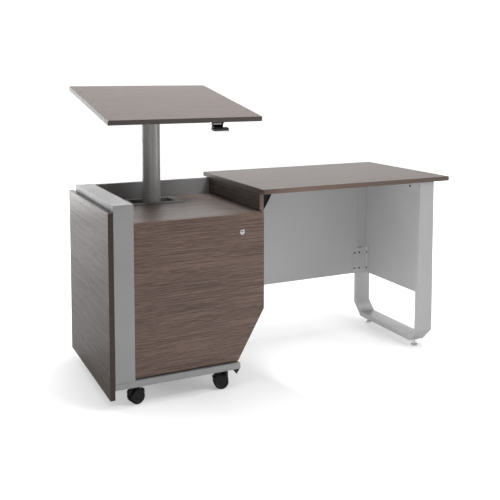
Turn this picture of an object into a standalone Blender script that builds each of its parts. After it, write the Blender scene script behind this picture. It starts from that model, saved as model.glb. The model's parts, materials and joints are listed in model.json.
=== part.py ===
"""Sit-stand lectern workstation.

A cabinet on casters with a lifting, tilting top stands beside a fixed desk on a loop leg.

Metres. +X runs along the desk to the right, +Y to the back, +Z up. The origin is under the middle, on the floor.
"""

import math

import bmesh
import bpy
from mathutils import Matrix, Vector

# Overall sizes
LENGTH = 1.514
DEPTH = 0.6096
DESK_HEIGHT = 0.762
DESK_LENGTH = 0.9044
BOARD = 0.019
GAP = 0.0003

LEFT = -LENGTH / 2
RIGHT = LENGTH / 2
FRONT = -DEPTH / 2
BACK = DEPTH / 2
DESK_LEFT = RIGHT - DESK_LENGTH
DESK_UNDER = DESK_HEIGHT - BOARD

# Flat steel tube that the end frame and the leg loop are made of
TUBE_WIDTH = 0.074
TUBE_WALL = 0.002

# Pedestal end: side panel, end frame and base pan
SIDE_LOW = 0.0375
SIDE_HIGH = 0.718
POST_LEFT = LEFT + BOARD + GAP
POST_RIGHT = POST_LEFT + TUBE_WIDTH
POST_DEPTH = 0.030
FRAME_TOP = 0.744
FRAME_BACK = FRONT + 0.570
BASE_LOW = 0.0725
BASE_HIGH = 0.0945
BASE_RIGHT = DESK_LEFT - 0.0965
PAN_WALL = 0.002

# Cabinet
CABINET_RIGHT = DESK_LEFT + 0.0205
CABINET_FRONT = FRONT + 0.0325
WALL_FRONT = FRONT + 0.5465
TOP_SURFACE = 0.6727
TOP_UNDER = TOP_SURFACE - BOARD
SLOPE = math.radians(60)
REVEAL = 0.011

# Door, its pivots and its lock
DOOR_FRONT = FRONT + 0.0115
DOOR_LOW = 0.1018
DOOR_LEFT = POST_RIGHT + 0.003
DOOR_RIGHT = CABINET_RIGHT - REVEAL
PIVOT_INSET = 0.006
PIVOT_HEIGHTS = {"lower": 0.160, "upper": 0.620}
LOCK_X = DESK_LEFT - 0.0843
LOCK_Z = 0.6036
LOCK_FLANGE_RADIUS = 0.0105
LOCK_BODY_RADIUS = 0.009
PLUG_RADIUS = 0.006

# Lifting column
COLUMN_X = DESK_LEFT - 0.3005
COLUMN_Y = FRONT + 0.449
COLUMN_RADIUS = 0.0381
FIXED_TUBE_RADIUS = 0.046
SLOT_X = 0.182
SLOT_Y = 0.100
BEZEL_FLANGE = 0.0295
TUBE_TOP = 1.054
TUBE_BOTTOM = 0.340

# Tilting top, in the frame of its pivot: y runs up the slope, z out of the surface
PIVOT_Z = 1.079
TILT = math.radians(10.5)
TOP_WIDTH = 0.605
TOP_LENGTH = 0.606
TOP_FRONT = -0.4381
UNDERSIDE = 0.0266
PIN_RADIUS = 0.005
LEVER_X = 0.1325
LEVER_PIN_Y = TOP_FRONT + 0.038
LEVER_REAR = TOP_FRONT + 0.047
LEVER_PIN_Z = UNDERSIDE - 0.0210

# Desk
LEG_LEFT = DESK_LEFT + 0.757
LEG_FRONT = FRONT + 0.0103
LEG_BACK = FRONT + 0.5093
LEG_BOTTOM = 0.031
LEG_TUBE = 0.022
LEG_CHAMFER = 0.057
LEVELLER_INSET = 0.0715
PANEL_LOW = 0.2365
MODESTY_FRONT = LEG_BACK - LEG_TUBE
END_PANEL_LEFT = DESK_LEFT + 0.8076

# Casters: name, stem x, stem y, direction of trail in degrees, has a brake
WHEEL_RADIUS = 0.028
WHEEL_WIDTH = 0.015
WHEEL_GAP = 0.008
TRAIL = 0.018
CASTERS = (
    ("fl", DESK_LEFT - 0.5217, FRONT + 0.0315, 14.0, True),
    ("fr", DESK_LEFT - 0.1515, FRONT + 0.0243, 170.0, True),
    ("bl", DESK_LEFT - 0.5214, FRONT + 0.5320, 12.0, False),
    ("br", DESK_LEFT - 0.1466, FRONT + 0.5320, 190.0, False),
)


def clear_scene():
    for obj in list(bpy.data.objects):
        bpy.data.objects.remove(obj)


def new_collection(name, hidden):
    collection = bpy.data.collections.new(name)
    collection.hide_render = hidden
    bpy.context.scene.collection.children.link(collection)
    return collection


def make_material(name, colour, roughness, metallic=0.0):
    material = bpy.data.materials.new(name)
    material.use_nodes = True
    shader = material.node_tree.nodes["Principled BSDF"]
    shader.inputs["Base Color"].default_value = (*colour, 1.0)
    shader.inputs["Roughness"].default_value = roughness
    shader.inputs["Metallic"].default_value = metallic
    return material


clear_scene()
PARTS = new_collection("sit_stand_workstation", False)
CUTTERS = new_collection("cutters", True)

WOOD = (0.20, 0.155, 0.13)
SILVER = (0.33, 0.33, 0.33)
BLACK = (0.012, 0.012, 0.013)
STEEL = (0.45, 0.45, 0.46)
CHROME = (0.75, 0.75, 0.77)


def finish(obj, colour, roughness=0.5, metallic=0.0):
    """Gives a part its own material, and smooth shading on its round faces."""
    obj.data.materials.clear()
    obj.data.materials.append(make_material(obj.name + "_finish", colour, roughness, metallic))
    obj.data.shade_smooth()
    obj.data.set_sharp_from_angle(angle=math.radians(30))
    return obj


def mesh_object(name, mesh_builder, place=Matrix.Identity(4), cutter=False):
    """Makes an object from a bmesh that mesh_builder fills, standing at place."""
    mesh = bpy.data.meshes.new(name)
    shape = bmesh.new()
    mesh_builder(shape)
    shape.to_mesh(mesh)
    shape.free()
    obj = bpy.data.objects.new(name, mesh)
    obj.matrix_world = place
    (CUTTERS if cutter else PARTS).objects.link(obj)
    if cutter:
        obj.hide_render = True
        obj.display_type = "WIRE"
    return obj


def block(name, low, high, place=Matrix.Identity(4), cutter=False, bevel=0.0):
    """A box from low to high, in the frame of place, with its origin at its middle."""
    size = [top - bottom for bottom, top in zip(low, high)]
    middle = Vector([(top + bottom) / 2 for bottom, top in zip(low, high)])

    def build(shape):
        bmesh.ops.create_cube(shape, size=1.0)
        bmesh.ops.scale(shape, vec=size, verts=shape.verts)

    obj = mesh_object(name, build, place @ Matrix.Translation(middle), cutter)
    if bevel:
        rounding = obj.modifiers.new("edges", "BEVEL")
        rounding.width = bevel
        rounding.segments = 1
    return obj


def rod(name, start, end, radius, segments=32, place=Matrix.Identity(4), cutter=False):
    """A cylinder from start to end, in the frame of place, with its origin at its middle."""
    start = Vector(start)
    along = Vector(end) - start
    turn = Vector((0, 0, 1)).rotation_difference(along).to_matrix().to_4x4()
    middle = Matrix.Translation(start + along / 2)

    def build(shape):
        bmesh.ops.create_cone(
            shape,
            cap_ends=True,
            segments=segments,
            radius1=radius,
            radius2=radius,
            depth=along.length,
        )

    return mesh_object(name, build, place @ middle @ turn, cutter)


UPRIGHT_XZ = Matrix.Rotation(math.radians(90), 4, "X")
UPRIGHT_YZ = Matrix.Rotation(math.radians(90), 4, "Z") @ UPRIGHT_XZ


def outline(name, points, thickness, place, cutter=False):
    """A flat outline, half its thickness on each side of place's XY plane, as a mesh to be cut."""
    curve = bpy.data.curves.new(name, "CURVE")
    curve.dimensions = "2D"
    curve.fill_mode = "BOTH"
    curve.extrude = thickness / 2
    spline = curve.splines.new("POLY")
    spline.points.add(len(points) - 1)
    for point, (x, y) in zip(spline.points, points):
        point.co = (x, y, 0, 1)
    spline.use_cyclic_u = True
    drawing = bpy.data.objects.new(name + "_curve", curve)
    PARTS.objects.link(drawing)
    bpy.context.view_layer.update()
    solid = drawing.evaluated_get(bpy.context.evaluated_depsgraph_get())
    mesh = bpy.data.meshes.new_from_object(solid)
    bpy.data.objects.remove(drawing)
    shape = bmesh.new()
    shape.from_mesh(mesh)
    bmesh.ops.remove_doubles(shape, verts=shape.verts, dist=1e-6)
    bmesh.ops.recalc_face_normals(shape, faces=shape.faces)
    shape.to_mesh(mesh)
    shape.free()
    mesh.name = name
    obj = bpy.data.objects.new(name, mesh)
    obj.matrix_world = place
    (CUTTERS if cutter else PARTS).objects.link(obj)
    if cutter:
        obj.hide_render = True
        obj.display_type = "WIRE"
    return obj


def upright_panel(name, points, front, back, cutter=False):
    """An outline of (x, z) points, standing between two depths."""
    place = Matrix.Translation((0, (front + back) / 2, 0)) @ UPRIGHT_XZ
    return outline(name, points, back - front, place, cutter)


def side_panel(name, points, left, right, cutter=False):
    """An outline of (y, z) points, standing between two values of x."""
    place = Matrix.Translation(((left + right) / 2, 0, 0)) @ UPRIGHT_YZ
    return outline(name, points, right - left, place, cutter)


def turned(name, profile, place, segments=32):
    """A profile of (radius, height) points from top to bottom on its outer side, turned about z."""
    mesh = bpy.data.meshes.new(name)
    mesh.from_pydata(
        [(radius, 0, height) for radius, height in profile],
        [(i, i + 1) for i in range(len(profile) - 1)],
        [],
    )
    obj = bpy.data.objects.new(name, mesh)
    obj.matrix_world = place
    PARTS.objects.link(obj)
    screw = obj.modifiers.new("turn", "SCREW")
    screw.steps = segments
    screw.render_steps = segments
    screw.use_merge_vertices = True
    screw.merge_threshold = 0.0001
    return obj


def cut(obj, *cutters):
    for cutter in cutters:
        step = obj.modifiers.new("cut", "BOOLEAN")
        step.operation = "DIFFERENCE"
        step.object = cutter
    return obj


def join(obj, *pieces):
    """Adds pieces to obj as one solid. The pieces become hidden guides."""
    for piece in pieces:
        step = obj.modifiers.new("join", "BOOLEAN")
        step.operation = "UNION"
        step.object = piece
    return obj


def inset_path(points, distance):
    """An open path moved to its left by distance, with mitred corners."""
    directions = [(Vector(b) - Vector(a)).normalized() for a, b in zip(points, points[1:])]
    normals = [Vector((-d.y, d.x)) for d in directions]
    moved = [Vector(points[0]) + normals[0] * distance]
    for point, before, after in zip(points[1:], normals, normals[1:]):
        bisector = (before + after).normalized()
        moved.append(Vector(point) + bisector * (distance / bisector.dot(before)))
    moved.append(Vector(points[-1]) + normals[-1] * distance)
    return [tuple(point) for point in moved]


def stretched_path(points, extra):
    """The same path with its two ends drawn out by extra."""
    first = Vector(points[0]) + (Vector(points[0]) - Vector(points[1])).normalized() * extra
    last = Vector(points[-1]) + (Vector(points[-1]) - Vector(points[-2])).normalized() * extra
    return [tuple(first), *points[1:-1], tuple(last)]


def bent_tube(name, outer_path, thickness, left, wall):
    """A flat tube bent along a path of (y, z) points on its outer side, open at both ends."""
    shell = outer_path + inset_path(outer_path, thickness)[::-1]
    tube = side_panel(name, shell, left, left + TUBE_WIDTH)
    longer = stretched_path(outer_path, 0.005)
    bore = inset_path(longer, wall) + inset_path(longer, thickness - wall)[::-1]
    hollow = side_panel(name + "_bore", bore, left + wall, left + TUBE_WIDTH - wall, cutter=True)
    return cut(tube, hollow)


def make_end_frame():
    low = BASE_HIGH + GAP
    path = [(FRAME_BACK, low), (FRAME_BACK, FRAME_TOP), (FRONT, FRAME_TOP), (FRONT, low)]
    finish(bent_tube("end_frame", path, POST_DEPTH, POST_LEFT, TUBE_WALL), SILVER, 0.4, 0.3)


def make_side_panel_left():
    low = (LEFT, FRONT, SIDE_LOW)
    high = (LEFT + BOARD, BACK, SIDE_HIGH)
    finish(block("side_panel_left", low, high, bevel=0.0008), WOOD)


def make_base_pan():
    """A steel pan, open below, that carries the cabinet on its casters."""
    pan = block("base_pan", (POST_LEFT, FRONT, BASE_LOW), (BASE_RIGHT, FRAME_BACK, BASE_HIGH))
    inside = block(
        "base_pan_inside",
        (POST_LEFT + PAN_WALL, FRONT + PAN_WALL, BASE_LOW - 0.01),
        (BASE_RIGHT - PAN_WALL, FRAME_BACK - PAN_WALL, BASE_HIGH - PAN_WALL),
        cutter=True,
    )
    finish(cut(pan, inside), SILVER, 0.4, 0.3)


def make_dock_tab():
    """The pointed tab under the right end of the base pan, which guides it to the desk."""
    left = DESK_LEFT - 0.130
    right = BASE_RIGHT - PAN_WALL - GAP
    tip = DESK_LEFT - 0.112
    points = [(left, 0.090), (left, 0.0745), (tip, 0.0525), (right, 0.0715), (right, 0.090)]
    front = FRONT + PAN_WALL + GAP
    finish(upright_panel("dock_tab", points, front, front + 0.003), BLACK, 0.5)


def slope_x(height, inward):
    """The x of the cabinet's sloped lower side at this height, inward from its outer face."""
    return BASE_RIGHT + (height - BASE_HIGH) / math.tan(SLOPE) - inward / math.sin(SLOPE)


def slope_z(x, inward):
    return BASE_HIGH + (x - BASE_RIGHT + inward / math.sin(SLOPE)) * math.tan(SLOPE)


def make_cabinet():
    floor = BASE_HIGH + GAP
    left = POST_RIGHT + GAP
    right = CABINET_RIGHT
    front = CABINET_FRONT
    back = WALL_FRONT - GAP
    under = TOP_UNDER - GAP
    inner = right - BOARD
    side = block("cabinet_side_left", (left, front, floor), (left + BOARD, back, under))
    finish(side, WOOD)

    miter_out = slope_z(right, 0)
    miter_in = slope_z(inner, BOARD)
    upper = [(inner, under), (inner, miter_in + GAP), (right, miter_out + GAP), (right, under)]
    finish(upright_panel("cabinet_side_right", upper, front, back), WOOD)
    lower = [
        (slope_x(floor, BOARD), floor),
        (slope_x(floor, 0), floor),
        (right, miter_out - GAP),
        (inner, miter_in - GAP),
    ]
    finish(upright_panel("cabinet_side_sloped", lower, front, back), WOOD)

    bottom = block(
        "cabinet_floor",
        (left + BOARD + GAP, front, floor),
        (slope_x(floor, BOARD) - GAP, back, floor + BOARD),
    )
    finish(bottom, WOOD)

    wall = [
        (left, floor),
        (slope_x(floor, 0), floor),
        (right, miter_out),
        (right, DESK_UNDER - GAP),
        (left, DESK_UNDER - GAP),
    ]
    finish(upright_panel("back_wall", wall, WALL_FRONT, WALL_FRONT + BOARD), SILVER, 0.45)

    top = block("cabinet_top", (left, front, TOP_UNDER), (right, back, TOP_SURFACE))
    slot = slot_block("cabinet_top_slot", 0, TOP_UNDER - 0.01, TOP_SURFACE + 0.01, True)
    finish(cut(top, slot), WOOD)


def slot_block(name, grow, low, high, cutter):
    half_x = SLOT_X / 2 + grow
    half_y = SLOT_Y / 2 + grow
    return block(
        name,
        (COLUMN_X - half_x, COLUMN_Y - half_y, low),
        (COLUMN_X + half_x, COLUMN_Y + half_y, high),
        cutter=cutter,
    )


def make_grommet_bezel():
    """A flanged frame that lines the slot that the column and cables pass through."""
    surface = TOP_SURFACE + GAP
    flange = slot_block("grommet_bezel", BEZEL_FLANGE, surface, surface + 0.0025, False)
    collar = slot_block("grommet_collar", -0.0005, TOP_UNDER, surface + 0.001, True)
    hole = slot_block("grommet_hole", -0.0025, TOP_UNDER - 0.01, surface + 0.01, True)
    finish(cut(join(flange, collar), hole), SILVER, 0.45)


def make_riser_and_desktop():
    left = CABINET_RIGHT - BOARD
    riser = block(
        "riser_panel",
        (left, FRONT + 0.0365, TOP_SURFACE + GAP),
        (CABINET_RIGHT, WALL_FRONT - GAP, DESK_UNDER - GAP),
        bevel=0.0006,
    )
    finish(riser, WOOD)
    desktop = block(
        "desktop",
        (DESK_LEFT, FRONT, DESK_UNDER),
        (RIGHT, BACK, DESK_HEIGHT),
        bevel=0.0008,
    )
    finish(desktop, WOOD)


def make_gusset():
    """A folded steel bracket between the riser and the desktop, with a flange along its long edge."""
    left = CABINET_RIGHT + GAP
    top = DESK_UNDER - GAP
    run = 0.044
    drop = 0.077
    sheet = 0.003
    plate_front = FRONT + 0.055
    corner = [(left, top), (left, top - drop), (left + run, top)]
    plate = upright_panel("gusset_bracket", corner, plate_front, plate_front + sheet)
    long_edge = math.hypot(run, drop)
    across = sheet * long_edge / run
    along = sheet * long_edge / drop
    flange = [
        (left, top - drop),
        (left + run, top),
        (left + run - along, top),
        (left, top - drop + across),
    ]
    lip = upright_panel("gusset_lip", flange, plate_front - 0.010, plate_front + 0.001, True)
    back = plate_front + 0.022
    shelf = block("gusset_shelf", (left, plate_front, top - sheet), (left + run * 0.8, back, top), cutter=True)
    ear = block("gusset_ear", (left, plate_front, top - drop * 0.8), (left + sheet, back, top), cutter=True)
    finish(join(plate, lip, shelf, ear), BLACK, 0.45)


def make_desk_end():
    top = DESK_UNDER - GAP
    c = LEG_CHAMFER
    path = [
        (LEG_FRONT, top),
        (LEG_FRONT, LEG_BOTTOM + c),
        (LEG_FRONT + c, LEG_BOTTOM),
        (LEG_BACK - c, LEG_BOTTOM),
        (LEG_BACK, LEG_BOTTOM + c),
        (LEG_BACK, top),
    ]
    leg = bent_tube("leg_frame", path, LEG_TUBE, LEG_LEFT, TUBE_WALL)
    leg_x = LEG_LEFT + TUBE_WIDTH / 2
    for end, y in leveller_places():
        hole = rod(
            f"leveller_hole_{end}",
            (leg_x, y, LEG_BOTTOM - 0.01),
            (leg_x, y, LEG_BOTTOM + 0.01),
            0.0044,
            24,
            cutter=True,
        )
        cut(leg, hole)
    finish(leg, SILVER, 0.4, 0.3)

    inner_front = LEG_FRONT + LEG_TUBE + GAP
    inner_back = LEG_BACK - LEG_TUBE - GAP
    end_panel = block(
        "end_panel",
        (END_PANEL_LEFT, inner_front, PANEL_LOW),
        (END_PANEL_LEFT + BOARD, inner_back, top),
    )
    finish(end_panel, SILVER, 0.45)

    rail_low = 0.695
    rail_width = 0.020
    rail = block("apron_rail", (LEG_LEFT, inner_front, rail_low), (LEG_LEFT + rail_width, inner_back, top))
    bore = block(
        "apron_rail_bore",
        (LEG_LEFT + TUBE_WALL, inner_front - 0.01, rail_low + TUBE_WALL),
        (LEG_LEFT + rail_width - TUBE_WALL, inner_back + 0.01, top - TUBE_WALL),
        cutter=True,
    )
    finish(cut(rail, bore), SILVER, 0.4, 0.3)

    modesty = block(
        "modesty_panel",
        (CABINET_RIGHT + GAP, MODESTY_FRONT, PANEL_LOW),
        (LEG_LEFT - GAP, MODESTY_FRONT + BOARD, top),
    )
    finish(modesty, SILVER, 0.45)

    make_corner_bracket()
    make_levellers(leg_x)


def make_corner_bracket():
    """An L of sheet steel that ties the modesty panel, the leg and the end panel together."""
    sheet = 0.0025
    left = DESK_LEFT + 0.7284
    right = END_PANEL_LEFT - GAP
    back = MODESTY_FRONT - GAP
    front = FRONT + 0.4615
    low = PANEL_LOW + 0.0005
    high = low + 0.127
    points = [
        (left, back),
        (left, back - sheet),
        (right - sheet, back - sheet),
        (right - sheet, front),
        (right, front),
        (right, back),
    ]
    place = Matrix.Translation((0, 0, (low + high) / 2))
    finish(outline("corner_bracket", points, high - low, place), SILVER, 0.4, 0.3)


def leveller_places():
    return (("front", LEG_FRONT + LEVELLER_INSET), ("back", LEG_BACK - LEVELLER_INSET))


def make_levellers(x):
    for end, y in leveller_places():
        place = Matrix.Translation((x, y, 0))
        foot = [
            (0, 0.044),
            (0.0034, 0.044),
            (0.004, 0.0434),
            (0.004, 0.0165),
            (0.0062, 0.0155),
            (0.0062, 0.0125),
            (0.0115, 0.0085),
            (0.0150, 0.0050),
            (0.0150, 0.0010),
            (0.0140, 0),
            (0, 0),
        ]
        finish(turned(f"leveller_{end}", foot, place), CHROME, 0.15, 1.0)
        nut = [
            (0.0044, LEG_BOTTOM - GAP),
            (0.0145, LEG_BOTTOM - GAP),
            (0.0145, LEG_BOTTOM - 0.0028),
            (0.0085, LEG_BOTTOM - 0.0036),
            (0.0085, 0.0215),
            (0.0044, 0.0215),
            (0.0044, LEG_BOTTOM - GAP),
        ]
        finish(turned(f"leveller_nut_{end}", nut, place), CHROME, 0.15, 1.0)


def make_door():
    """A full-height door whose lower right corner is cut off along the cabinet's slope."""
    back = DOOR_FRONT + BOARD
    corner_z = slope_z(CABINET_RIGHT, 0) - 0.004
    corner_x = DOOR_RIGHT - (corner_z - DOOR_LOW) / math.tan(SLOPE)
    points = [
        (DOOR_LEFT, DOOR_LOW),
        (corner_x, DOOR_LOW),
        (DOOR_RIGHT, corner_z),
        (DOOR_RIGHT, TOP_SURFACE),
        (DOOR_LEFT, TOP_SURFACE),
    ]
    door = upright_panel("door", points, DOOR_FRONT, back)
    pivot_x = DOOR_LEFT + PIVOT_INSET
    pivot_y = DOOR_FRONT + PIVOT_INSET
    for end, z in PIVOT_HEIGHTS.items():
        slot = block(
            f"door_slot_{end}",
            (DOOR_LEFT - 0.002, pivot_y - 0.004, z - 0.003),
            (pivot_x + 0.005, back + 0.002, z + 0.003),
            cutter=True,
        )
        low = (pivot_x, pivot_y, z - 0.012)
        high = (pivot_x, pivot_y, z + 0.012)
        hole = rod(f"door_hole_{end}", low, high, 0.0023, 16, cutter=True)
        cut(door, slot, hole)
        arm = block(
            f"door_pivot_{end}",
            (pivot_x - 0.003, pivot_y - 0.002, z - 0.002),
            (pivot_x + 0.003, CABINET_FRONT - GAP, z + 0.002),
        )
        low = (pivot_x, pivot_y, z - 0.010)
        high = (pivot_x, pivot_y, z + 0.010)
        pin = rod(f"door_pin_{end}", low, high, 0.002, 16, cutter=True)
        finish(join(arm, pin), STEEL, 0.3, 1.0)
    start = (LOCK_X, DOOR_FRONT - 0.01, LOCK_Z)
    end = (LOCK_X, back + 0.01, LOCK_Z)
    bore = rod("door_lock_hole", start, end, LOCK_BODY_RADIUS + GAP, 32, cutter=True)
    finish(cut(door, bore), WOOD)


def make_lock():
    """A cam lock: a flanged barrel in the door, and a plug that turns its cam behind a keeper."""
    out = Matrix.Translation((LOCK_X, DOOR_FRONT, LOCK_Z)) @ Matrix.Rotation(math.radians(90), 4, "X")
    inside = -0.033
    bore = PLUG_RADIUS + 0.0002
    barrel = [
        (bore, 0.0025),
        (LOCK_FLANGE_RADIUS - 0.0008, 0.0025),
        (LOCK_FLANGE_RADIUS, 0.0015),
        (LOCK_FLANGE_RADIUS, GAP),
        (LOCK_BODY_RADIUS, GAP),
        (LOCK_BODY_RADIUS, inside),
        (bore, inside),
        (bore, 0.0025),
    ]
    finish(turned("lock_barrel", barrel, out), CHROME, 0.2, 1.0)
    plug = [
        (0, 0.0030),
        (PLUG_RADIUS - 0.0005, 0.0030),
        (PLUG_RADIUS, 0.0025),
        (PLUG_RADIUS, inside - 0.0045),
        (0, inside - 0.0045),
    ]
    key_plug = turned("lock_plug", plug, out)
    keyway = block("keyway", (-0.0007, -0.0035, 0.0005), (0.0007, 0.0035, 0.01), out, True)
    finish(cut(key_plug, keyway), CHROME, 0.2, 1.0)
    cam_y = DOOR_FRONT - inside + 0.0048
    cam = [(LOCK_X + x, LOCK_Z + z) for x, z in rounded_bar(0.0375, 0.007)]
    finish(upright_panel("lock_cam", cam, cam_y, cam_y + 0.0025), STEEL, 0.3, 1.0)

    keeper_back = cam_y - 0.0016
    half = 0.016
    under = TOP_UNDER - GAP
    corner = (LOCK_X + half, keeper_back, under)
    tongue = block("lock_keeper", (LOCK_X - half, keeper_back - 0.002, under - 0.020), corner)
    front = CABINET_FRONT + 0.0005
    shelf = block("keeper_shelf", (LOCK_X - half, front, under - 0.002), corner, cutter=True)
    finish(join(tongue, shelf), STEEL, 0.3, 1.0)


def rounded_bar(reach, half_width, steps=8):
    """A flat bar from a round end about the origin to a round end at x = reach."""
    points = []
    for centre, start in ((reach, -90), (0, 90)):
        for step in range(steps + 1):
            angle = math.radians(start + 180 * step / steps)
            points.append((centre + half_width * math.cos(angle), half_width * math.sin(angle)))
    return points


def column_place(z=0.0):
    return Matrix.Translation((COLUMN_X, COLUMN_Y, z))


def ring_profile(inner, outer, low, high):
    return [(inner, high), (outer, high), (outer, low), (inner, low), (inner, high)]


def make_column():
    floor = BASE_HIGH + GAP + BOARD + GAP
    plate_top = floor + 0.006
    half = 0.080
    plate = block(
        "column_base_plate",
        (COLUMN_X - half, COLUMN_Y - half, floor),
        (COLUMN_X + half, COLUMN_Y + half, plate_top),
        bevel=0.001,
    )
    finish(plate, STEEL, 0.4, 1.0)
    fixed_low = plate_top + GAP
    fixed_high = 0.640
    fixed_inner = FIXED_TUBE_RADIUS - 0.003
    fixed = ring_profile(fixed_inner, FIXED_TUBE_RADIUS, fixed_low, fixed_high)
    finish(turned("column_fixed_tube", fixed, column_place(), 48), STEEL, 0.35, 1.0)
    sleeve = COLUMN_RADIUS + 0.0003
    bush = [
        (sleeve, fixed_high + 0.0050),
        (FIXED_TUBE_RADIUS + 0.001, fixed_high + 0.0050),
        (FIXED_TUBE_RADIUS + 0.002, fixed_high + 0.0040),
        (FIXED_TUBE_RADIUS + 0.002, fixed_high + GAP),
        (fixed_inner - GAP, fixed_high + GAP),
        (fixed_inner - GAP, fixed_high - 0.060),
        (sleeve, fixed_high - 0.060),
        (sleeve, fixed_high + 0.0050),
    ]
    finish(turned("column_glide", bush, column_place(), 48), BLACK, 0.5)

    moving = ring_profile(COLUMN_RADIUS - 0.002, COLUMN_RADIUS, TUBE_BOTTOM, TUBE_TOP)
    finish(turned("column_tube", moving, column_place(), 48), SILVER, 0.35, 0.8)

    spring_rod = [
        (0, 0.765),
        (0.0042, 0.765),
        (0.005, 0.764),
        (0.005, fixed_low),
        (0, fixed_low),
    ]
    finish(turned("gas_spring_rod", spring_rod, column_place(), 20), CHROME, 0.15, 1.0)
    cylinder_top = TUBE_TOP - GAP
    cylinder = [
        (0, cylinder_top),
        (0.013, cylinder_top),
        (0.014, cylinder_top - 0.001),
        (0.014, 0.550),
        (0.0055, 0.550),
        (0.0055, 0.560),
        (0.0110, 0.560),
        (0.0110, cylinder_top - 0.015),
        (0, cylinder_top - 0.015),
    ]
    finish(turned("gas_spring_cylinder", cylinder, column_place(), 24), BLACK, 0.3)

    make_column_head()


def make_column_head():
    """The cap of the moving tube, with two ears that hold the tilt pin."""
    low = TUBE_TOP + GAP
    high = low + 0.008
    cap = rod("column_head", (COLUMN_X, COLUMN_Y, low), (COLUMN_X, COLUMN_Y, high), 0.048, 48)
    reach = 0.034
    ear_radius = 0.011
    for side in (-1, 1):
        inner = COLUMN_X + side * (reach - 0.003)
        outer = COLUMN_X + side * (reach + 0.003)
        profile = [(COLUMN_Y - 0.018, high - 0.003), (COLUMN_Y + 0.018, high - 0.003)]
        for step in range(9):
            angle = math.radians(180 * step / 8)
            profile.append((COLUMN_Y + ear_radius * math.cos(angle), PIVOT_Z + ear_radius * math.sin(angle)))
        ear = side_panel(f"head_ear_{side}", profile, min(inner, outer), max(inner, outer), True)
        join(cap, ear)
    hole = rod(
        "head_pin_hole",
        (COLUMN_X - 0.06, COLUMN_Y, PIVOT_Z),
        (COLUMN_X + 0.06, COLUMN_Y, PIVOT_Z),
        PIN_RADIUS + 0.0002,
        24,
        cutter=True,
    )
    finish(cut(cap, hole), STEEL, 0.4, 1.0)


TILTED = Matrix.Translation((COLUMN_X, COLUMN_Y, PIVOT_Z)) @ Matrix.Rotation(TILT, 4, "X")


def make_tilting_top():
    half = TOP_WIDTH / 2
    back = TOP_FRONT + TOP_LENGTH
    board = block(
        "lift_top",
        (-half + 0.002, TOP_FRONT, UNDERSIDE),
        (half - 0.0005, back, UNDERSIDE + BOARD),
        TILTED,
        bevel=0.0008,
    )
    finish(board, WOOD)

    top = UNDERSIDE - GAP
    plate = block("tilt_bracket", (-0.060, -0.075, top - 0.004), (0.060, 0.075, top), TILTED)
    ear_reach = 0.0400
    for side in (-1, 1):
        profile = [(0.026, top - 0.002), (-0.026, top - 0.002)]
        for step in range(9):
            angle = math.radians(180 + 180 * step / 8)
            profile.append((0.010 * math.cos(angle), 0.010 * math.sin(angle)))
        middle = Matrix.Translation((side * (ear_reach + 0.0005), 0, 0))
        ear = outline(f"tilt_ear_{side}", profile, 0.005, TILTED @ middle @ UPRIGHT_YZ, True)
        join(plate, ear)
    anchor = block("cable_anchor", (0.030, -0.075, top - 0.016), (0.050, -0.0725, top - 0.001), TILTED, True)
    hole = rod("tilt_pin_hole", (-0.06, 0, 0), (0.06, 0, 0), PIN_RADIUS + 0.0002, 24, TILTED, True)
    finish(cut(join(plate, anchor), hole), BLACK, 0.45)

    head_radius = 0.008
    reach = 0.0445
    across = TILTED @ Matrix.Rotation(math.radians(90), 4, "Y")
    pin = [
        (0, reach + 0.0025),
        (head_radius - 0.001, reach + 0.0025),
        (head_radius, reach + 0.0015),
        (head_radius, reach),
        (PIN_RADIUS, reach),
        (PIN_RADIUS, -reach - 0.0015),
        (PIN_RADIUS - 0.001, -reach - 0.0025),
        (0, -reach - 0.0025),
    ]
    finish(turned("tilt_pin", pin, across, 24), CHROME, 0.2, 1.0)

    make_lever()
    make_release_cable()


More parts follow.
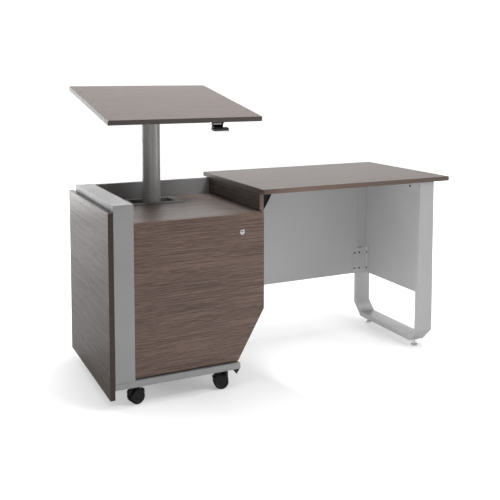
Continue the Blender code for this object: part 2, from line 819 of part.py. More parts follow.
def make_lever():
    """The release lever: a housing with two ears, a pin, and a paddle that is squeezed upwards."""
    top = UNDERSIDE - GAP
    half = 0.022
    housing = block(
        "lever_housing",
        (LEVER_X - half, TOP_FRONT + 0.026, top - 0.0115),
        (LEVER_X + half, LEVER_REAR, top),
        TILTED,
    )
    for side in (-1, 1):
        inner = LEVER_X + side * (half - 0.004)
        outer = LEVER_X + side * half
        ear = block(
            f"lever_ear_{side}",
            (min(inner, outer), LEVER_PIN_Y - 0.007, LEVER_PIN_Z - 0.006),
            (max(inner, outer), LEVER_PIN_Y + 0.007, top - 0.005),
            TILTED,
            True,
        )
        join(housing, ear)
    finish(cut(housing, lever_axis("lever_pin_hole", 0.04, 0.0027, True)), BLACK, 0.4)
    finish(lever_axis("lever_pin", half + 0.0015, 0.0025, False), CHROME, 0.2, 1.0)

    arm_top = LEVER_PIN_Z + 0.0040
    arm_low = LEVER_PIN_Z - 0.0040
    handle_low = UNDERSIDE - 0.0365
    handle = [
        (LEVER_PIN_Y + 0.006, arm_low),
        (LEVER_PIN_Y + 0.006, arm_top),
        (LEVER_PIN_Y - 0.004, arm_top),
        (TOP_FRONT + 0.022, UNDERSIDE - 0.0225),
        (TOP_FRONT + 0.008, UNDERSIDE - 0.0245),
        (TOP_FRONT + 0.003, UNDERSIDE - 0.0290),
        (TOP_FRONT + 0.005, handle_low),
        (TOP_FRONT + 0.018, handle_low),
        (TOP_FRONT + 0.025, arm_low - 0.003),
    ]
    middle = Matrix.Translation((LEVER_X + 0.002, 0, 0))
    paddle = outline("lever_paddle", handle, 0.069, TILTED @ middle @ UPRIGHT_YZ)
    for side in (-1, 1):
        inner = LEVER_X + side * (half - 0.005)
        outer = LEVER_X + side * (half + 0.030)
        notch = block(
            f"paddle_notch_{side}",
            (min(inner, outer), TOP_FRONT + 0.0235, UNDERSIDE - 0.05),
            (max(inner, outer), LEVER_REAR + 0.01, UNDERSIDE),
            TILTED,
            True,
        )
        cut(paddle, notch)
    finish(cut(paddle, lever_axis("paddle_hole", 0.04, 0.0027, True)), BLACK, 0.4)


def lever_axis(name, reach, radius, cutter):
    """A rod on the lever's axis, reaching this far to each side of the lever's middle."""
    start = (LEVER_X - reach, LEVER_PIN_Y, LEVER_PIN_Z)
    end = (LEVER_X + reach, LEVER_PIN_Y, LEVER_PIN_Z)
    return rod(name, start, end, radius, 16, TILTED, cutter)


def make_release_cable():
    """The sheathed cable from the lever housing to the anchor tab on the tilt bracket, held under the top."""
    radius = 0.0025
    depth = UNDERSIDE - 0.0085
    start = Vector((LEVER_X, LEVER_REAR + GAP, depth))
    end = Vector((0.040, -0.075 - GAP, depth))
    pull = 0.14
    leave = start + Vector((0, pull, 0))
    arrive = end - Vector((0, pull, 0))
    steps = 24
    curve = bpy.data.curves.new("release_cable", "CURVE")
    curve.dimensions = "3D"
    curve.bevel_depth = radius
    curve.bevel_resolution = 2
    curve.use_fill_caps = True
    spline = curve.splines.new("POLY")
    spline.points.add(steps)
    for step, point in enumerate(spline.points):
        t = step / steps
        s = 1 - t
        place = s**3 * start + 3 * s * s * t * leave + 3 * s * t * t * arrive + t**3 * end
        point.co = (*place, 1)
    cable = bpy.data.objects.new("release_cable", curve)
    cable.matrix_world = TILTED
    cable.data.materials.append(make_material("release_cable_finish", BLACK, 0.5))
    PARTS.objects.link(cable)


def arc(radius, start, end, steps):
    return [
        (radius * math.cos(math.radians(a)), radius * math.sin(math.radians(a)))
        for a in [start + (end - start) * i / steps for i in range(steps + 1)]
    ]


def make_caster(name, x, y, trail_angle, braked):
    """A hooded twin-wheel caster. Its frame has the stem on z and the wheels trailing along x."""
    swivel = Matrix.Translation((x, y, 0)) @ Matrix.Rotation(math.radians(trail_angle), 4, "Z")
    axle = swivel @ Matrix.Translation((TRAIL, 0, WHEEL_RADIUS))
    half_width = WHEEL_GAP / 2 + WHEEL_WIDTH + 0.001
    well = WHEEL_RADIUS + 0.0008
    cover = WHEEL_RADIUS + 0.0026
    web = WHEEL_GAP / 2 - 0.0005
    hood = outline(f"caster_{name}_hood", arc(cover, -12, 192, 24), 2 * web, axle @ UPRIGHT_XZ)
    shell = arc(cover, 14, 158, 18) + arc(well - 0.0005, 158, 14, 18)
    join(hood, outline(f"caster_{name}_cover", shell, 2 * half_width, axle @ UPRIGHT_XZ, True))
    neck_high = BASE_LOW - 0.0015
    join(hood, rod(f"caster_{name}_neck", (0, 0, 0.036), (0, 0, neck_high), 0.0115, 24, swivel, True))
    for side in (-1, 1):
        inner = side * web
        outer = side * (half_width + 0.01)
        wheel_well = rod(f"caster_{name}_well_{side}", (0, inner, 0), (0, outer, 0), well, 40, axle, True)
        cut(hood, wheel_well)
    join(hood, rod(f"caster_{name}_stem", (0, 0, 0.060), (0, 0, 0.0885), 0.0055, 16, swivel, True))
    axle_hole = rod(f"caster_{name}_axle_hole", (0, -0.03, 0), (0, 0.03, 0), 0.0043, 16, axle, True)
    cut(hood, axle_hole)
    if braked:
        notch = block(f"caster_{name}_notch", (0.0225, -0.012, 0.0060), (0.04, 0.012, 0.0245), axle, True)
        cut(hood, notch)
        pedal_side = [
            (0.0245, 0.0200),
            (0.0285, 0.0208),
            (0.0318, 0.0192),
            (0.0328, 0.0174),
            (0.0314, 0.0158),
            (0.0278, 0.0163),
            (0.0245, 0.0170),
        ]
        pedal = outline(f"caster_{name}_brake", pedal_side, 0.020, axle @ UPRIGHT_XZ)
        finish(pedal, BLACK, 0.4)
    finish(hood, BLACK, 0.4)

    wheel_out = WHEEL_GAP / 2 + WHEEL_WIDTH
    rim = WHEEL_RADIUS
    side_on = axle @ Matrix.Rotation(math.radians(90), 4, "X")
    profile = [
        (0, wheel_out),
        (rim - 0.0045, wheel_out),
        (rim - 0.0005, wheel_out - 0.003),
        (rim, wheel_out - 0.006),
        (rim, WHEEL_GAP / 2 + 0.0015),
        (rim - 0.0015, WHEEL_GAP / 2),
        (0.0040, WHEEL_GAP / 2),
        (0.0040, -WHEEL_GAP / 2),
        (rim - 0.0015, -WHEEL_GAP / 2),
        (rim, -WHEEL_GAP / 2 - 0.0015),
        (rim, -wheel_out + 0.006),
        (rim - 0.0005, -wheel_out + 0.003),
        (rim - 0.0045, -wheel_out),
        (0, -wheel_out),
    ]
    finish(turned(f"caster_{name}_wheels", profile, side_on, 32), BLACK, 0.5)

    socket_top = BASE_HIGH - PAN_WALL - GAP
    socket = ring_profile(0.0058, 0.0125, BASE_LOW, socket_top)
    finish(turned(f"caster_{name}_socket", socket, swivel, 24), STEEL, 0.4, 1.0)


make_side_panel_left()
make_end_frame()
make_base_pan()
make_dock_tab()
make_cabinet()
make_grommet_bezel()
make_riser_and_desktop()
make_gusset()
make_desk_end()
make_door()
make_lock()
make_column()
make_tilting_top()
for caster in CASTERS:
    make_caster(*caster)
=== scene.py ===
"""Looks for the sit-stand lectern workstation.

Laminated boards, silver tube, lectern column, casters, lock and lever.
"""

import json
import math

import bmesh
import bpy
from mathutils import Matrix, Vector


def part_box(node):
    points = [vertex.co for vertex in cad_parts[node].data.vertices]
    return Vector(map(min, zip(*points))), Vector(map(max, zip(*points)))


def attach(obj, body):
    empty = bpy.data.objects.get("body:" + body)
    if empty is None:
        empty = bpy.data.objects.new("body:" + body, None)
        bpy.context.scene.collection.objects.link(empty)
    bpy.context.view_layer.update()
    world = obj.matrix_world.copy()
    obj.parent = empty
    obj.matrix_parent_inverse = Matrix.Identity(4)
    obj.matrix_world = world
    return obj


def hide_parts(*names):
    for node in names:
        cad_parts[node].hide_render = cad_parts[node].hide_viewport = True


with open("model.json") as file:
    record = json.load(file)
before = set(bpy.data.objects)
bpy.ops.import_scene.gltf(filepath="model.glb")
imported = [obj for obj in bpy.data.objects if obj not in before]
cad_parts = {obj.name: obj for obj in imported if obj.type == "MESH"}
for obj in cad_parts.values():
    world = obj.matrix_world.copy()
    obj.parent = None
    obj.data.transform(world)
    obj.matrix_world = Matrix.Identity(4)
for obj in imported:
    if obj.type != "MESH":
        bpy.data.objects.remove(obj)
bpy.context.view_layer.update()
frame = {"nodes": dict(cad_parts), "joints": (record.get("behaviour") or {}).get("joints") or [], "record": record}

BODIES = frame["record"]["behaviour"]["bodies"]
BODY_OF = {node: body for body, nodes in BODIES.items() for node in nodes}
SLOT_OF = {entry["node"]: entry["material_slot"] for entry in frame["record"]["subparts"]}
JOINTS = {joint["name"]: joint for joint in frame["joints"]}

# The tilting top's own frame: origin on the tilt pin, y up the slope, z out of the board
TILT = math.radians(10.5)
TILTED = Matrix.Translation(JOINTS["top_tilt"]["pos_m"]) @ Matrix.Rotation(TILT, 4, "X")
BOARD = 0.019
UNDERSIDE = 0.0266
TOP_FRONT = -0.4381
BOARD_LOW = (-0.3005, TOP_FRONT, UNDERSIDE)
BOARD_HIGH = (0.3020, TOP_FRONT + 0.606, UNDERSIDE + BOARD)
LEVER_X = 0.1325
LEVER_PIN_Y = TOP_FRONT + 0.038
LEVER_PIN_Z = UNDERSIDE - 0.0210
DESK_LEFT = -0.1474

# The camera looks a little down, and its frame is shifted down for the rest, so that upright
# edges stay nearly parallel
CAMERA_PLACE = (-1.4597, -2.9210, 1.2083)
CAMERA_TURN = math.radians(25.645)
CAMERA_PITCH = math.radians(4.592)
CAMERA_LENS = 55.34
CAMERA_SHIFT = -0.23
SENSOR = 36

# Powers of the lights in watts, then the strengths of the world and of the floor's own glow,
# which grows from FLOOR_LIFT near the object to 1 far from it
OVERHEAD = 108
KEY = 32
RIGHT_FRONT = 32
CAMERA_SIDE = 6
KNEE_SPACE = 3.9
SIDE_SHEEN = 21
BACKDROP = 97
WORLD = 0.1
WORLD_SEEN = 1.05
FLOOR_LIFT = 0.31
FLOOR_NEAR = 0.95
FLOOR_FAR = 1.9

FRONTWARD = Matrix.Rotation(math.radians(90), 4, "X")
BACKWARD = Matrix.Rotation(math.radians(-90), 4, "X")
LEFTWARD = Matrix.Rotation(math.radians(-90), 4, "Y")
RIGHTWARD = LEFTWARD.inverted()
DOWNWARD = Matrix.Rotation(math.radians(180), 4, "X")


# ---------------------------------------------------------------- scene

def make_camera():
    data = bpy.data.cameras.new("camera")
    data.sensor_width = SENSOR
    data.lens = CAMERA_LENS
    data.clip_start = 0.1
    data.clip_end = 60
    data.shift_y = CAMERA_SHIFT
    camera = bpy.data.objects.new("camera", data)
    camera.location = CAMERA_PLACE
    camera.rotation_euler = (math.radians(90) - CAMERA_PITCH, 0, -CAMERA_TURN)
    bpy.context.scene.collection.objects.link(camera)
    bpy.context.scene.camera = camera


def area_light(name, place, target, size, power):
    data = bpy.data.lights.new(name, "AREA")
    data.shape = "RECTANGLE"
    data.size, data.size_y = size
    data.energy = power
    light = bpy.data.objects.new(name, data)
    light.location = place
    aim = Vector(target) - Vector(place)
    light.rotation_euler = aim.to_track_quat("-Z", "Y").to_euler()
    light.visible_camera = False
    bpy.context.scene.collection.objects.link(light)


def make_lights():
    area_light("overhead", (0.2, 0.3, 3.8), (0, 0, 0.5), (3.0, 2.4), OVERHEAD)
    area_light("key", (0.9, -1.9, 3.1), (0, 0, 0.3), (0.9, 0.9), KEY)
    area_light("right_front", (2.9, -2.2, 1.5), (0.2, 0, 0.4), (1.4, 1.8), RIGHT_FRONT)
    area_light("camera_side", (-2.1, -3.4, 1.1), (0.3, 0, 0.4), (1.6, 1.6), CAMERA_SIDE)
    area_light("knee_space", (-0.08, -0.50, 0.42), (0.66, -0.32, 0.46), (0.4, 0.5), KNEE_SPACE)
    area_light("backdrop", (1.7, 4.2, 1.5), (1.7, 0, 0.9), (6.6, 2.6), BACKDROP)
    area_light("side_sheen", (-1.75, 2.9, 0.85), (-0.76, 0, 0.5), (1.4, 1.4), SIDE_SHEEN)
    world = bpy.data.worlds.new("studio")
    world.use_nodes = True
    bpy.context.scene.world = world
    nodes = world.node_tree.nodes
    links = world.node_tree.links
    background = nodes["Background"]
    background.inputs["Color"].default_value = (1, 1, 1, 1)
    ray = nodes.new("ShaderNodeLightPath")
    choice = nodes.new("ShaderNodeMapRange")
    choice.inputs["To Min"].default_value = WORLD
    choice.inputs["To Max"].default_value = WORLD_SEEN
    links.new(ray.outputs["Is Camera Ray"], choice.inputs["Value"])
    links.new(choice.outputs["Result"], background.inputs["Strength"])
    bpy.context.scene.view_settings.view_transform = "Standard"
    bpy.context.scene.view_settings.look = "None"


# ---------------------------------------------------------------- materials


class Paint:
    """A material's node tree with short ways to add nodes to it."""

    def __init__(self, name):
        self.material = bpy.data.materials.new(name)
        self.material.use_nodes = True
        self.tree = self.material.node_tree
        self.shader = self.tree.nodes["Principled BSDF"]
        place = self.tree.nodes.new("ShaderNodeTexCoord")
        self.place = place.outputs["Object"]
        self.normal = place.outputs["Normal"]

    def connect(self, value, socket):
        if isinstance(value, bpy.types.NodeSocket):
            self.tree.links.new(value, socket)
        else:
            socket.default_value = value

    def stretched(self, scale, vector=None):
        """Object coordinates in metres, or another vector, multiplied by scale along each axis."""
        node = self.tree.nodes.new("ShaderNodeVectorMath")
        node.operation = "MULTIPLY"
        self.connect(vector or self.place, node.inputs[0])
        node.inputs[1].default_value = scale
        return node.outputs["Vector"]

    def moved(self, vector, offset):
        node = self.tree.nodes.new("ShaderNodeVectorMath")
        node.operation = "ADD"
        self.connect(vector, node.inputs[0])
        self.connect(offset, node.inputs[1])
        return node.outputs["Vector"]

    def noise(self, vector, scale, detail=2.0, roughness=0.5):
        node = self.tree.nodes.new("ShaderNodeTexNoise")
        self.connect(vector, node.inputs["Vector"])
        node.inputs["Scale"].default_value = scale
        node.inputs["Detail"].default_value = detail
        node.inputs["Roughness"].default_value = roughness
        return node.outputs["Fac"]

    def math(self, operation, a, b=0.0):
        node = self.tree.nodes.new("ShaderNodeMath")
        node.operation = operation
        self.connect(a, node.inputs[0])
        self.connect(b, node.inputs[1])
        return node.outputs["Value"]

    def ranged(self, value, low, high, to_low, to_high):
        node = self.tree.nodes.new("ShaderNodeMapRange")
        self.connect(value, node.inputs["Value"])
        sockets = ("From Min", "From Max", "To Min", "To Max")
        for socket, number in zip(sockets, (low, high, to_low, to_high)):
            node.inputs[socket].default_value = number
        return node.outputs["Result"]

    def ramp(self, value, stops):
        node = self.tree.nodes.new("ShaderNodeValToRGB")
        self.connect(value, node.inputs["Fac"])
        elements = node.color_ramp.elements
        while len(elements) < len(stops):
            elements.new(0.5)
        for element, (position, colour) in zip(elements, stops):
            element.position = position
            element.color = (*colour, 1.0)
        return node.outputs["Color"]

    def vector_of(self, x=0.0, y=0.0, z=0.0):
        node = self.tree.nodes.new("ShaderNodeCombineXYZ")
        for socket, value in zip(node.inputs, (x, y, z)):
            self.connect(value, socket)
        return node.outputs["Vector"]

    def weighted(self, *layers):
        """The sum of several values, each multiplied by its weight."""
        total = None
        for value, weight in layers:
            part = self.math("MULTIPLY", value, weight)
            total = part if total is None else self.math("ADD", total, part)
        return total

    def facing(self, axis):
        """1 where the surface faces along the object's own axis, 0 where it's at right angles."""
        node = self.tree.nodes.new("ShaderNodeVectorMath")
        node.operation = "DOT_PRODUCT"
        self.connect(self.normal, node.inputs[0])
        node.inputs[1].default_value = axis
        return self.math("ABSOLUTE", node.outputs["Value"])

    def multiplied(self, a, b):
        node = self.tree.nodes.new("ShaderNodeVectorMath")
        node.operation = "MULTIPLY"
        self.connect(a, node.inputs[0])
        self.connect(b, node.inputs[1])
        return node.outputs["Vector"]

    def mixed(self, factor, a, b):
        node = self.tree.nodes.new("ShaderNodeMix")
        node.data_type = "RGBA"
        self.connect(factor, node.inputs[0])
        for socket, value in ((node.inputs[6], a), (node.inputs[7], b)):
            self.connect(value if isinstance(value, bpy.types.NodeSocket) else (*value, 1.0), socket)
        return node.outputs[2]

    def bump(self, height, strength, distance):
        node = self.tree.nodes.new("ShaderNodeBump")
        node.inputs["Strength"].default_value = strength
        node.inputs["Distance"].default_value = distance
        self.connect(height, node.inputs["Height"])
        self.connect(node.outputs["Normal"], self.shader.inputs["Normal"])

    def set(self, **values):
        """Sets the shader's sockets, which are named in lower case with underscores."""
        for name, value in values.items():
            socket = name.replace("_", " ").title().replace("Ior", "IOR")
            self.connect(value, self.shader.inputs[socket])


WOOD_TONE = (0.112, 0.080, 0.066)
GRAIN_SWAY = 0.0012
GRAIN_SPREAD = 0.085
EDGE_CONTRAST = 0.35
ACROSS_X = (1, 0, 0)
ACROSS_Y = (0, 1, 0)
ACROSS_Z = (0, 0, 1)


def shade(colour, factor):
    return tuple(channel * factor for channel in colour)


def wood_material(
    name, flat, face, edge=0.85, contrast=1.0, roughness=0.42, shift=0.0, tone=WOOD_TONE
):
    """Straight-grained laminate on the faces along one axis, with edges of another depth of tone.

    The grain runs along x on flat boards and level on upright ones. It is made of long fine
    lines, shorter streaks, wide bands, fibres and dark pores, and it sways a little.
    """

    def drawn_out(along):
        return (along, 1, 1) if flat else (along, along, 1)

    paint = Paint(name)
    grain = paint.moved(paint.stretched(drawn_out(0.040)), (shift, shift * 0.7, shift * 1.3))
    sway = paint.noise(paint.stretched((1.2, 2.0, 2.0)), 1.2, 1.0)
    offset = paint.ranged(sway, 0.3, 0.7, -GRAIN_SWAY, GRAIN_SWAY)
    grain = paint.moved(grain, paint.vector_of(0.0, offset if flat else 0.0, offset))
    lines = paint.noise(paint.stretched(drawn_out(0.25), grain), 340)
    streaks = paint.noise(grain, 430)
    bands = paint.noise(grain, 32)
    fibres = paint.noise(paint.stretched(drawn_out(0.06)), 900)
    pattern = paint.weighted((lines, 0.46), (bands, 0.10), (streaks, 0.30), (fibres, 0.14))
    on_face = paint.ranged(paint.facing(face), 0.35, 0.75, 0.0, 1.0)
    spread = GRAIN_SPREAD / contrast
    even = paint.ranged(pattern, 0.5 - spread, 0.5 + spread, -0.5, 0.5)
    even = paint.math("MULTIPLY", even, paint.ranged(on_face, 0.0, 1.0, EDGE_CONTRAST, 1.0))
    even = paint.math("ADD", even, 0.5)
    stops = ((0.0, 0.62), (0.35, 0.86), (0.62, 1.08), (1.0, 1.42))
    colour = paint.ramp(even, tuple((position, shade(tone, factor)) for position, factor in stops))
    pores = paint.noise(grain, 420, 1.0)
    ticks = paint.math("MULTIPLY", paint.ranged(pores, 0.60, 0.66, 0.0, 0.5), on_face)
    colour = paint.mixed(ticks, colour, shade(tone, 0.50))
    faces = paint.ranged(on_face, 0.0, 1.0, edge, 1.0)
    colour = paint.multiplied(colour, paint.vector_of(faces, faces, faces))
    paint.set(base_color=colour, ior=1.46)
    paint.set(roughness=paint.ranged(even, 0.0, 1.0, roughness + 0.07, roughness - 0.04))
    height = paint.math("SUBTRACT", even, paint.math("MULTIPLY", ticks, 1.6))
    height = paint.math("MULTIPLY", height, on_face)
    paint.bump(height, 0.05, 0.0002)
    return paint.material


def coat_material(name, tone, metallic=0.0, roughness=0.38, sparkle=0.05, peel=0.06):
    """Powder coat: fine orange peel, tiny flakes, and slow changes of tone over a large face."""
    paint = Paint(name)
    flakes = paint.noise(paint.place, 2600, 1.0)
    clouds = paint.noise(paint.place, 7.0, 3.0)
    glints = paint.ranged(flakes, 0.3, 0.7, -sparkle, sparkle)
    mix = paint.math("ADD", glints, paint.ranged(clouds, 0.3, 0.7, 0.46, 0.54))
    colour = paint.ramp(mix, ((0.0, shade(tone, 0.55)), (0.5, tone), (1.0, shade(tone, 1.45))))
    paint.set(base_color=colour, metallic=metallic, ior=1.5)
    smears = paint.noise(paint.place, 22.0, 3.0)
    paint.set(roughness=paint.ranged(smears, 0.3, 0.7, roughness - 0.04, roughness + 0.05))
    paint.bump(paint.noise(paint.place, 950, 2.0), peel, 0.0002)
    return paint.material


def laminate_material(name, tone, roughness=0.45):
    """Plain grey laminate with a barely visible mottle."""
    paint = Paint(name)
    mottle = paint.noise(paint.place, 420, 3.0, 0.6)
    clouds = paint.noise(paint.place, 3.0, 2.0)
    mix = paint.weighted((mottle, 0.35), (clouds, 0.65))
    colour = paint.ramp(mix, ((0.25, shade(tone, 0.90)), (0.5, tone), (0.75, shade(tone, 1.10))))
    paint.set(base_color=colour, ior=1.5)
    paint.set(roughness=paint.ranged(mottle, 0.3, 0.7, roughness - 0.03, roughness + 0.05))
    paint.bump(mottle, 0.05, 0.0002)
    return paint.material


def metal_material(name, tone, roughness, brushed=(1, 1, 1), depth=0.05):
    """Bare or plated metal, with fine scratches drawn out along the short sides of brushed."""
    paint = Paint(name)
    scratches = paint.noise(paint.stretched(brushed), 1400, 2.0)
    stains = paint.noise(paint.place, 60, 3.0)
    colour = paint.ramp(stains, ((0.3, shade(tone, 0.86)), (0.5, tone), (0.7, shade(tone, 1.08))))
    paint.set(base_color=colour, metallic=1.0)
    paint.set(roughness=paint.ranged(scratches, 0.3, 0.7, roughness * 0.75, roughness * 1.3))
    paint.bump(scratches, depth, 0.0001)
    return paint.material


def plastic_material(name, tone, roughness, grain=1500):
    """Moulded plastic with a fine spark-eroded texture."""
    paint = Paint(name)
    texture = paint.noise(paint.place, grain, 2.0, 0.6)
    scuffs = paint.noise(paint.place, 45, 4.0, 0.7)
    colour = paint.ramp(scuffs, ((0.3, shade(tone, 0.75)), (0.55, tone), (0.8, shade(tone, 1.7))))
    paint.set(base_color=colour, ior=1.48)
    paint.set(roughness=paint.ranged(scuffs, 0.3, 0.75, roughness - 0.06, roughness + 0.12))
    paint.bump(texture, 0.08, 0.0002)
    return paint.material


MATERIALS = {
    # The lift top's lighter, greyer tone is partly its laminate's colour and partly painted sheen.
    "wood_lift_top": wood_material(
        "lift_top_laminate", True, ACROSS_Z, 0.46, 0.3, 0.38, 0.37, (0.204, 0.168, 0.155)
    ),
    "wood_desktop": wood_material(
        "desktop_laminate", True, ACROSS_Z, 1.35, 0.36, tone=(0.082, 0.057, 0.046)
    ),
    # The cabinet top's lighter, greyer tone is partly its laminate's colour and partly painted sheen.
    "wood_cabinet_top": wood_material(
        "cabinet_top_laminate", True, ACROSS_Z, 0.9, 0.6, 0.42, 0.71, (0.225, 0.175, 0.157)
    ),
    "wood_door": wood_material(
        "door_laminate", False, ACROSS_Y, 0.9, 1.35, tone=(0.182, 0.122, 0.098)
    ),
    "wood_side_panel": wood_material(
        "side_panel_laminate", False, ACROSS_X, 0.58, 0.8, 0.32, 0.53, (0.112, 0.073, 0.056)
    ),
    "wood_carcass": wood_material("carcass_laminate", False, ACROSS_X, 0.9, shift=0.91),
    "wood_riser": wood_material(
        "riser_laminate", False, ACROSS_X, 1.9, shift=0.19, tone=(0.085, 0.059, 0.048)
    ),
    "grey_laminate": laminate_material("grey_laminate", (0.40, 0.40, 0.404)),
    "silver_paint": coat_material("silver_paint", (0.42, 0.42, 0.422), 0.15),
    "column_silver": coat_material("column_silver", (0.66, 0.655, 0.645), 0.15, 0.34, 0.03, 0.005),
    "black_paint": coat_material("black_paint", (0.010, 0.010, 0.011), 0.0, 0.35),
    "grommet_plastic": plastic_material("grommet_plastic", (0.30, 0.30, 0.30), 0.42),
    "plain_steel": metal_material("plain_steel", (0.42, 0.42, 0.43), 0.34, (1, 1, 0.08)),
    "bright_metal": metal_material("bright_metal", (0.90, 0.90, 0.90), 0.22, depth=0.02),
    "gas_spring_black": coat_material("gas_spring_black", (0.012, 0.012, 0.013), 0.0, 0.2),
    "glide_plastic": plastic_material("glide_plastic", (0.015, 0.015, 0.016), 0.42),
    "lever_plastic": plastic_material("lever_plastic", (0.006, 0.006, 0.007), 0.32),
    "cable_sheath": plastic_material("cable_sheath", (0.012, 0.012, 0.013), 0.5),
    "caster_plastic": plastic_material("caster_plastic", (0.003, 0.003, 0.0035), 0.42),
    "caster_tread": plastic_material("caster_tread", (0.003, 0.003, 0.0035), 0.48),
}


def make_floor():
    """A pale floor that glows to the camera alone, more so away from the object."""
    mesh = bpy.data.meshes.new("floor")
    shape = bmesh.new()
    bmesh.ops.create_grid(shape, x_segments=1, y_segments=1, size=20)
    shape.to_mesh(mesh)
    shape.free()
    floor = bpy.data.objects.new("floor", mesh)
    bpy.context.scene.collection.objects.link(floor)
    paint = Paint("floor_paint")
    clouds = paint.noise(paint.place, 1.5, 2.0)
    tones = ((0.3, (0.86, 0.86, 0.865)), (0.7, (0.88, 0.88, 0.885)))
    paint.set(base_color=paint.ramp(clouds, tones))
    ray = paint.tree.nodes.new("ShaderNodeLightPath")
    far = paint.tree.nodes.new("ShaderNodeVectorMath")
    far.operation = "LENGTH"
    paint.connect(paint.moved(paint.place, (-0.45, 0.0, 0.0)), far.inputs[0])
    lift = paint.ranged(far.outputs["Value"], FLOOR_NEAR, FLOOR_FAR, FLOOR_LIFT, 1.0)
    lift = paint.math("MULTIPLY", ray.outputs["Is Camera Ray"], lift)
    paint.set(roughness=0.8, emission_color=(1, 1, 1, 1), emission_strength=lift)
    paint.shader.inputs["Specular IOR Level"].default_value = 0.1
    mesh.materials.append(paint.material)


# ---------------------------------------------------------------- pieces


def add_piece(name, mesh, slot, body, place=Matrix.Identity(4), replaces=()):
    obj = bpy.data.objects.new(name, mesh)
    bpy.context.scene.collection.objects.link(obj)
    obj.matrix_world = place
    mesh.materials.clear()
    mesh.materials.append(MATERIALS[slot])
    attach(obj, body)
    if replaces:
        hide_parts(*replaces)
    return obj


def smooth(obj, angle=40):
    obj.data.shade_smooth()
    obj.data.set_sharp_from_angle(angle=math.radians(angle))
    weighted = obj.modifiers.new("flat_faces", "WEIGHTED_NORMAL")
    weighted.keep_sharp = True


def rounded_edges(shape, edges, width, segments):
    bmesh.ops.bevel(
        shape,
        geom=edges,
        offset=width,
        segments=segments,
        profile=0.5,
        affect="EDGES",
        clamp_overlap=True,
    )


def softened(node, width):
    """A copy of a CAD part with its outer edges rounded."""
    mesh = bpy.data.meshes.new(node + "_rounded")
    shape = bmesh.new()
    shape.from_mesh(frame["nodes"][node].data)
    bmesh.ops.remove_doubles(shape, verts=shape.verts, dist=1e-6)
    bmesh.ops.dissolve_limit(
        shape,
        angle_limit=math.radians(1.0),
        verts=shape.verts,
        edges=shape.edges,
    )
    sharp = [
        e
        for e in shape.edges
        if len(e.link_faces) == 2 and e.is_convex and e.calc_face_angle(0) > math.radians(25)
    ]
    rounded_edges(shape, sharp, width, 3)
    shape.to_mesh(mesh)
    shape.free()
    smooth(add_piece(mesh.name, mesh, SLOT_OF[node], BODY_OF[node], replaces=(node,)))


class Solid:
    """One piece, built up from plain shapes in the frame of place."""

    def __init__(self, place=Matrix.Identity(4)):
        self.shape = bmesh.new()
        self.place = place

    def rounded(self, faces, bevel, segments=2):
        """Rounds the sharp outer edges of these faces."""
        if not bevel:
            return
        bmesh.ops.recalc_face_normals(self.shape, faces=faces)
        edges = {edge for face in faces for edge in face.edges}
        sharp = [e for e in edges if e.is_convex and e.calc_face_angle(0) > math.radians(28)]
        rounded_edges(self.shape, sharp, bevel, segments)

    def box(self, low, high, bevel=0.0, segments=2, turn=Matrix.Identity(4)):
        """A box between two corners, in the frame of turn."""
        points = [(low[0], low[1]), (high[0], low[1]), (high[0], high[1]), (low[0], high[1])]
        self.prism(points, low[2], high[2], bevel, segments, turn)

    def prism(self, points, low, high, bevel=0.0, segments=2, turn=Matrix.Identity(4)):
        """An outline of (x, y) points standing between two heights, in the frame of turn."""
        bottom = [self.shape.verts.new(turn @ Vector((x, y, low))) for x, y in points]
        top = [self.shape.verts.new(turn @ Vector((x, y, high))) for x, y in points]
        faces = [self.shape.faces.new(bottom[::-1]), self.shape.faces.new(top)]
        for i in range(len(points)):
            j = (i + 1) % len(points)
            faces.append(self.shape.faces.new((bottom[i], bottom[j], top[j], top[i])))
        self.rounded(faces, bevel, segments)

    def lathe(self, profile, segments=48, turn=Matrix.Identity(4)):
        """A profile of (radius, height) points turned about z, in the frame of turn."""
        rings = []
        for radius, height in profile:
            count = segments if radius > 1e-6 else 1
            angles = [2 * math.pi * step / segments for step in range(count)]
            points = [Vector((radius * math.cos(a), radius * math.sin(a), height)) for a in angles]
            rings.append([self.shape.verts.new(turn @ point) for point in points])
        for lower, upper in zip(rings, rings[1:]):
            for i in range(segments):
                j = (i + 1) % segments
                corners = [lower[i % len(lower)], lower[j % len(lower)]]
                corners += [upper[j % len(upper)], upper[i % len(upper)]]
                self.shape.faces.new(list(dict.fromkeys(corners)))

    def done(self, name, slot, body, replaces=()):
        """Makes the piece, which rides on body and takes the place of the nodes in replaces."""
        bmesh.ops.recalc_face_normals(self.shape, faces=self.shape.faces)
        mesh = bpy.data.meshes.new(name)
        self.shape.to_mesh(mesh)
        self.shape.free()
        smooth(add_piece(name, mesh, slot, body, self.place, replaces), 35)


def at(x, y, z, turn=Matrix.Identity(4)):
    return Matrix.Translation((x, y, z)) @ turn


def ring_points(radius, count):
    angles = [2 * math.pi * step / count for step in range(count)]
    return [(radius * math.cos(angle), radius * math.sin(angle)) for angle in angles]


def arc(radius, start, end, steps):
    angles = [math.radians(start + (end - start) * step / steps) for step in range(steps + 1)]
    return [(radius * math.cos(angle), radius * math.sin(angle)) for angle in angles]


def screw_head(solid, turn, radius=0.0042, height=0.0022):
    """A button head with a round socket, standing on the plane of turn."""
    solid.lathe(
        [
            (radius, -0.0002),
            (radius, height * 0.30),
            (radius * 0.93, height * 0.62),
            (radius * 0.74, height * 0.90),
            (radius * 0.50, height),
            (radius * 0.46, height),
            (radius * 0.44, height * 0.25),
            (0, height * 0.25),
        ],
        24,
        turn,
    )


def dome(solid, turn, radius, height):
    """A low round cap, let into the plane of turn."""
    profile = [(0, height), (radius - 0.0008, height - 0.0001), (radius, 0), (radius, -0.001)]
    solid.lathe(profile, 24, turn)


def node_box(node):
    low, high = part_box(node)
    return Vector(low), Vector(high)


